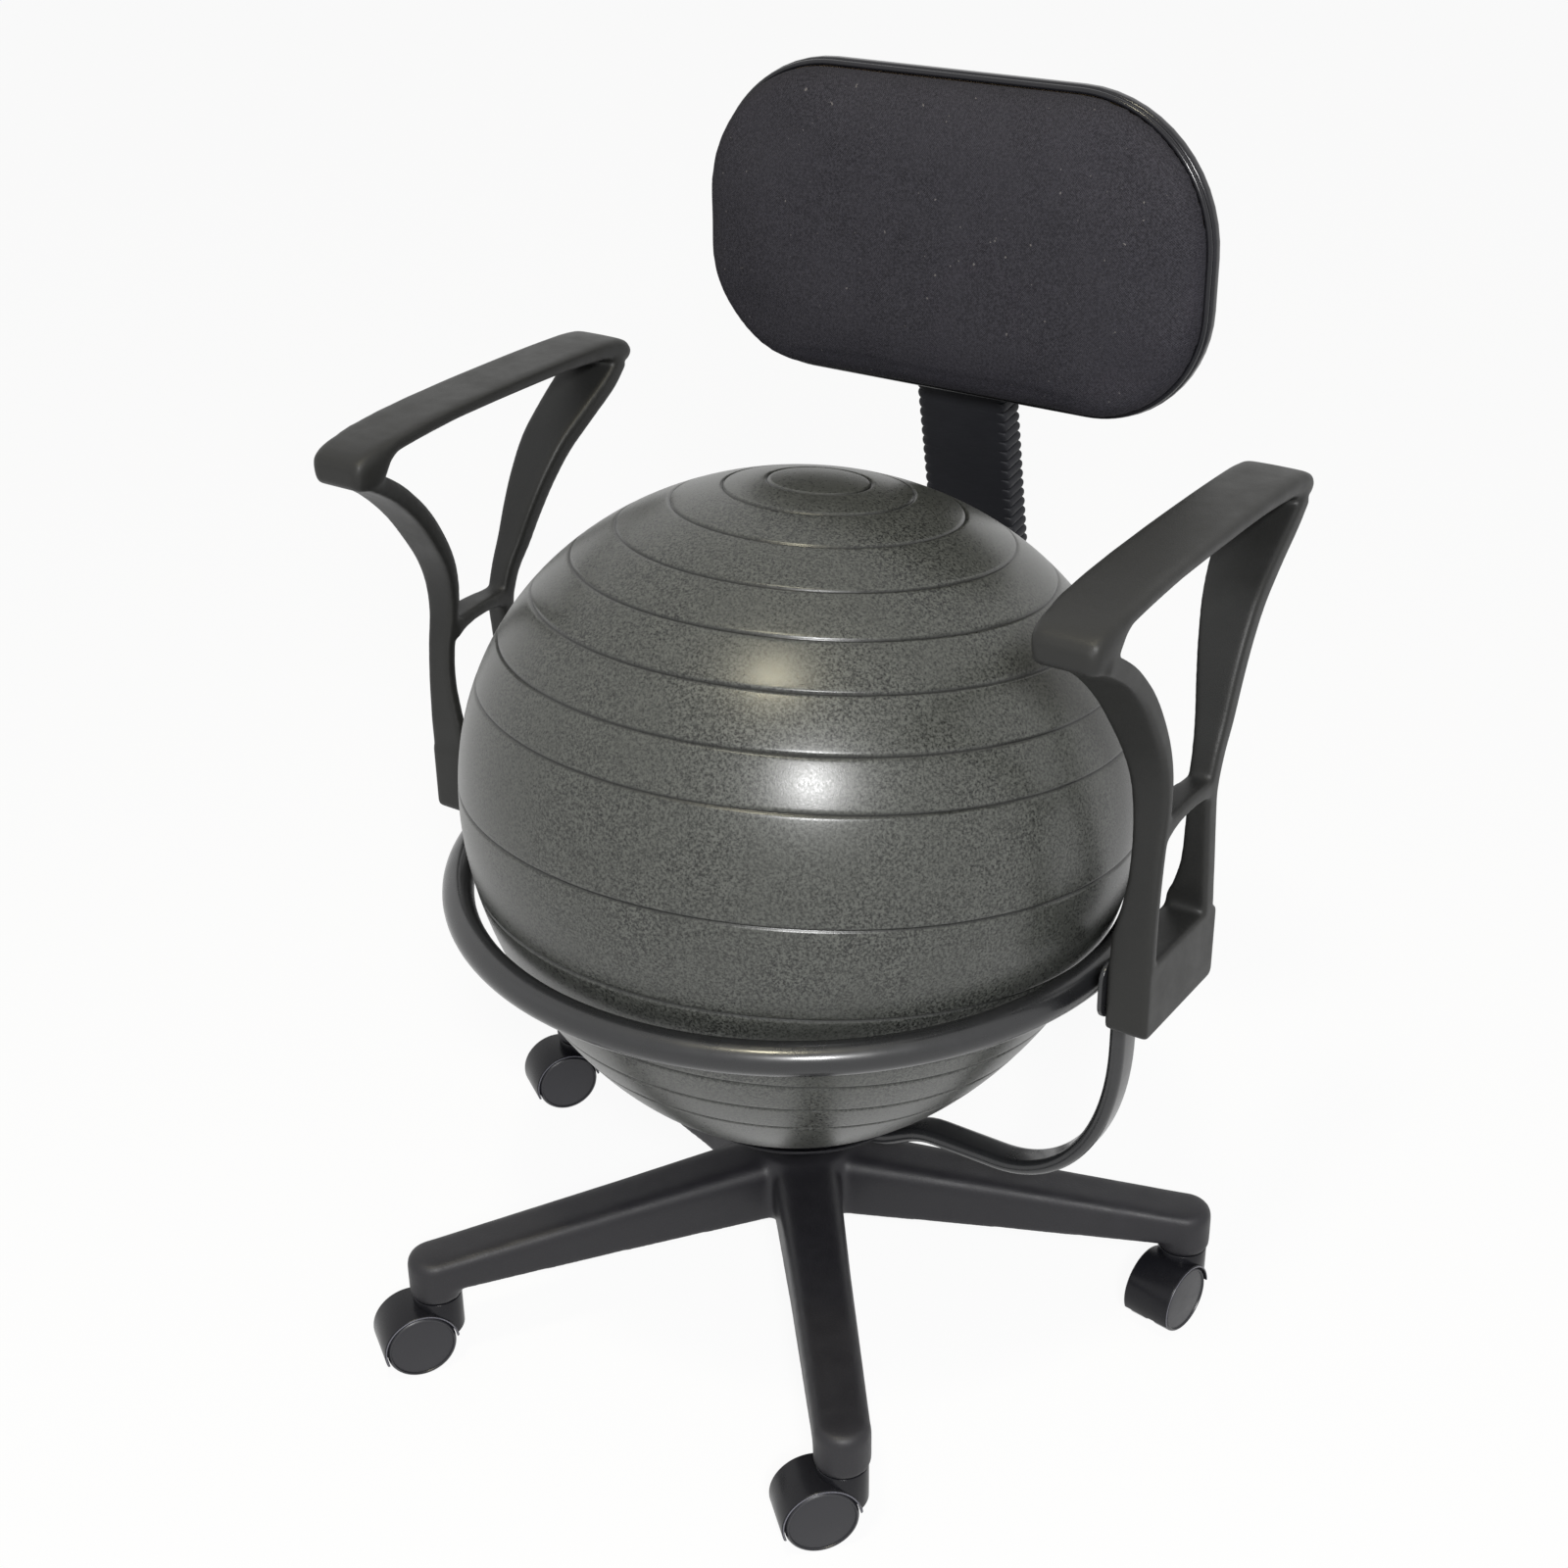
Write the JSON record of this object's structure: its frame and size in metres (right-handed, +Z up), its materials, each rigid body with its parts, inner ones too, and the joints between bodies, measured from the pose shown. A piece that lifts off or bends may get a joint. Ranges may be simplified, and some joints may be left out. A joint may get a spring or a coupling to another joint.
{
  "type": "balance ball chair",
  "caption": "Desk chair whose seat is an inflated exercise ball held in a steel hoop, with looped armrests, a padded backrest and a star base on casters.",
  "frame": {"origin": "middle of the chair's footprint on the floor, under the middle of its bounding box", "axes": "+Z up, the chair faces -Y with its backrest towards +Y, +X is to the right seen from the front"},
  "size_m": [0.6048, 0.586, 0.8475],
  "materials": {
    "ball_vinyl": "dark olive grey inflated vinyl, fine pebble grain, semi-gloss",
    "black_steel": "gloss black powder coat",
    "black_nylon": "black moulded nylon, fine grain, satin",
    "black_gloss": "black moulded plastic, gloss",
    "black_fabric": "black woven upholstery cloth",
    "black_boot": "black soft moulded bellows",
    "zinc_steel": "zinc plated steel",
    "plywood": "raw plywood"
  },
  "bodies": {
    "chair_frame": {"frame_hub": "black_steel", "ball_dish": "black_nylon", "strut_left": "black_steel", "strut_right": "black_steel", "strut_rear": "black_steel", "support_hoop": "black_steel", "star_base": "black_nylon", "hub_washer": "zinc_steel", "hub_bolt": "zinc_steel", "armrest_right": "black_nylon", "arm_bracket_right": "black_steel", "arm_bolt_right_front": "zinc_steel", "arm_bolt_right_rear": "zinc_steel", "armrest_left": "black_nylon", "arm_bracket_left": "black_steel", "arm_bolt_left_front": "zinc_steel", "arm_bolt_left_rear": "zinc_steel", "back_bar": "black_steel", "bar_bolt_lower": "zinc_steel", "bar_bolt_upper": "zinc_steel", "bar_bellows": "black_boot"},
    "exercise_ball": {"ball": "ball_vinyl", "ball_plug": "black_nylon"},
    "backrest": {"back_cushion": "black_fabric", "back_shell": "black_gloss", "back_board": "plywood", "back_bracket": "black_nylon", "back_screw_1": "zinc_steel", "back_screw_2": "zinc_steel", "back_screw_3": "zinc_steel", "back_screw_4": "zinc_steel"},
    "clamp_knob": {"back_knob": "black_nylon"},
    "caster_rear": {"caster_rear_hood": "black_gloss", "caster_rear_stem": "zinc_steel", "caster_rear_axle": "zinc_steel"},
    "caster_rear_wheel_outer": {"caster_rear_wheel_outer": "black_gloss"},
    "caster_rear_wheel_inner": {"caster_rear_wheel_inner": "black_gloss"},
    "caster_left": {"caster_left_hood": "black_gloss", "caster_left_stem": "zinc_steel", "caster_left_axle": "zinc_steel"},
    "caster_left_wheel_outer": {"caster_left_wheel_outer": "black_gloss"},
    "caster_left_wheel_inner": {"caster_left_wheel_inner": "black_gloss"},
    "caster_front_left": {"caster_front_left_hood": "black_gloss", "caster_front_left_stem": "zinc_steel", "caster_front_left_axle": "zinc_steel"},
    "caster_front_left_wheel_outer": {"caster_front_left_wheel_outer": "black_gloss"},
    "caster_front_left_wheel_inner": {"caster_front_left_wheel_inner": "black_gloss"},
    "caster_front_right": {"caster_front_right_hood": "black_gloss", "caster_front_right_stem": "zinc_steel", "caster_front_right_axle": "zinc_steel"},
    "caster_front_right_wheel_outer": {"caster_front_right_wheel_outer": "black_gloss"},
    "caster_front_right_wheel_inner": {"caster_front_right_wheel_inner": "black_gloss"},
    "caster_right": {"caster_right_hood": "black_gloss", "caster_right_stem": "zinc_steel", "caster_right_axle": "zinc_steel"},
    "caster_right_wheel_outer": {"caster_right_wheel_outer": "black_gloss"},
    "caster_right_wheel_inner": {"caster_right_wheel_inner": "black_gloss"}
  },
  "joints": [
    {"name": "ball_lift", "type": "slide", "parent": "chair_frame", "child": "exercise_ball", "axis": [0, 0, 1], "range_m": [0, 0.04]},
    {"name": "backrest_height", "type": "slide", "parent": "chair_frame", "child": "backrest", "axis": [0, 0, 1], "range_m": [0, 0.05]},
    {"name": "clamp_knob_turn", "type": "hinge", "parent": "backrest", "child": "clamp_knob", "pos_m": [0.01058, 0.21538, 0.7], "axis": [0, 1, 0], "range_deg": [0, 720]},
    {"name": "caster_rear_swivel", "type": "hinge", "parent": "chair_frame", "child": "caster_rear", "pos_m": [-0.00266, 0.27406, 0], "axis": [0, 0, 1], "continuous": true},
    {"name": "caster_rear_outer_roll", "type": "hinge", "parent": "caster_rear", "child": "caster_rear_wheel_outer", "pos_m": [-0.01019, 0.25793, 0.025], "axis": [0.9063, -0.4226, 0], "continuous": true},
    {"name": "caster_rear_inner_roll", "type": "hinge", "parent": "caster_rear", "child": "caster_rear_wheel_inner", "pos_m": [-0.01019, 0.25793, 0.025], "axis": [0.9063, -0.4226, 0], "continuous": true},
    {"name": "caster_left_swivel", "type": "hinge", "parent": "chair_frame", "child": "caster_left", "pos_m": [-0.26256, 0.066, 0], "axis": [0, 0, 1], "continuous": true},
    {"name": "caster_left_outer_roll", "type": "hinge", "parent": "caster_left", "child": "caster_left_wheel_outer", "pos_m": [-0.27225, 0.05107, 0.025], "axis": [0.8387, -0.5446, 0], "continuous": true},
    {"name": "caster_left_inner_roll", "type": "hinge", "parent": "caster_left", "child": "caster_left_wheel_inner", "pos_m": [-0.27225, 0.05107, 0.025], "axis": [0.8387, -0.5446, 0], "continuous": true},
    {"name": "caster_front_left_swivel", "type": "hinge", "parent": "chair_frame", "child": "caster_front_left", "pos_m": [-0.14499, -0.24547, 0], "axis": [0, 0, 1], "continuous": true},
    {"name": "caster_front_left_outer_roll", "type": "hinge", "parent": "caster_front_left", "child": "caster_front_left_wheel_outer", "pos_m": [-0.15494, -0.26023, 0.025], "axis": [0.829, -0.5592, 0], "continuous": true},
    {"name": "caster_front_left_inner_roll", "type": "hinge", "parent": "caster_front_left", "child": "caster_front_left_wheel_inner", "pos_m": [-0.15494, -0.26023, 0.025], "axis": [0.829, -0.5592, 0], "continuous": true},
    {"name": "caster_front_right_swivel", "type": "hinge", "parent": "chair_frame", "child": "caster_front_right", "pos_m": [0.18757, -0.22991, 0], "axis": [0, 0, 1], "continuous": true},
    {"name": "caster_front_right_outer_roll", "type": "hinge", "parent": "caster_front_right", "child": "caster_front_right_wheel_outer", "pos_m": [0.17566, -0.24314, 0.025], "axis": [0.7431, -0.6691, 0], "continuous": true},
    {"name": "caster_front_right_inner_roll", "type": "hinge", "parent": "caster_front_right", "child": "caster_front_right_wheel_inner", "pos_m": [0.17566, -0.24314, 0.025], "axis": [0.7431, -0.6691, 0], "continuous": true},
    {"name": "caster_right_swivel", "type": "hinge", "parent": "chair_frame", "child": "caster_right", "pos_m": [0.27553, 0.09118, 0], "axis": [0, 0, 1], "continuous": true},
    {"name": "caster_right_outer_roll", "type": "hinge", "parent": "caster_right", "child": "caster_right_wheel_outer", "pos_m": [0.27305, 0.07356, 0.025], "axis": [0.9903, -0.1392, 0], "continuous": true},
    {"name": "caster_right_inner_roll", "type": "hinge", "parent": "caster_right", "child": "caster_right_wheel_inner", "pos_m": [0.27305, 0.07356, 0.025], "axis": [0.9903, -0.1392, 0], "continuous": true}
  ]
}
